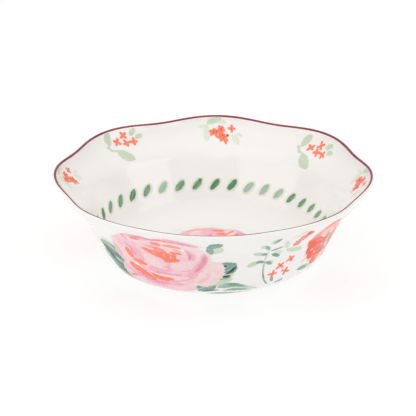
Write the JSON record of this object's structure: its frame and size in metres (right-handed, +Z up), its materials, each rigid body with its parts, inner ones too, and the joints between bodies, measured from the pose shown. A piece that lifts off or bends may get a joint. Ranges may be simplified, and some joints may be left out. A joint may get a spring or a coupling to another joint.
{
  "type": "serving bowl",
  "caption": "Round porcelain serving bowl with a scalloped flared rim, a foot ring and painted floral decoration.",
  "frame": {"origin": "centre of the resting plane under the foot ring", "axes": "+Z up along the bowl's axis; +X through the crest of a rim lobe; the lobes repeat every 45 degrees; the front of the decoration faces -Y"},
  "size_m": [0.2322, 0.2322, 0.0716],
  "materials": {
    "porcelain_body": "matte",
    "clear_glaze": "gloss",
    "burgundy_enamel": "gloss",
    "green_enamel": "gloss",
    "pink_enamel": "gloss",
    "coral_enamel": "gloss"
  },
  "bodies": {
    "root": {"bowl_body": "porcelain_body", "glaze_coat": "clear_glaze", "rim_line": "burgundy_enamel", "leaf_band_decal": "green_enamel", "floor_peony_decal": "pink_enamel", "rim_sprig_1": "coral_enamel", "rim_sprig_2": "coral_enamel", "rim_sprig_3": "coral_enamel", "rim_sprig_4": "coral_enamel", "rim_sprig_5": "coral_enamel", "rim_sprig_6": "coral_enamel", "rim_sprig_7": "coral_enamel", "rim_sprig_8": "coral_enamel", "outer_peony_1": "pink_enamel", "outer_peony_2": "pink_enamel", "outer_poppy_1": "coral_enamel", "outer_poppy_2": "coral_enamel", "outer_fern_1": "green_enamel", "outer_fern_2": "green_enamel", "outer_fern_3": "green_enamel", "outer_fern_4": "green_enamel"}
  },
  "joints": []
}
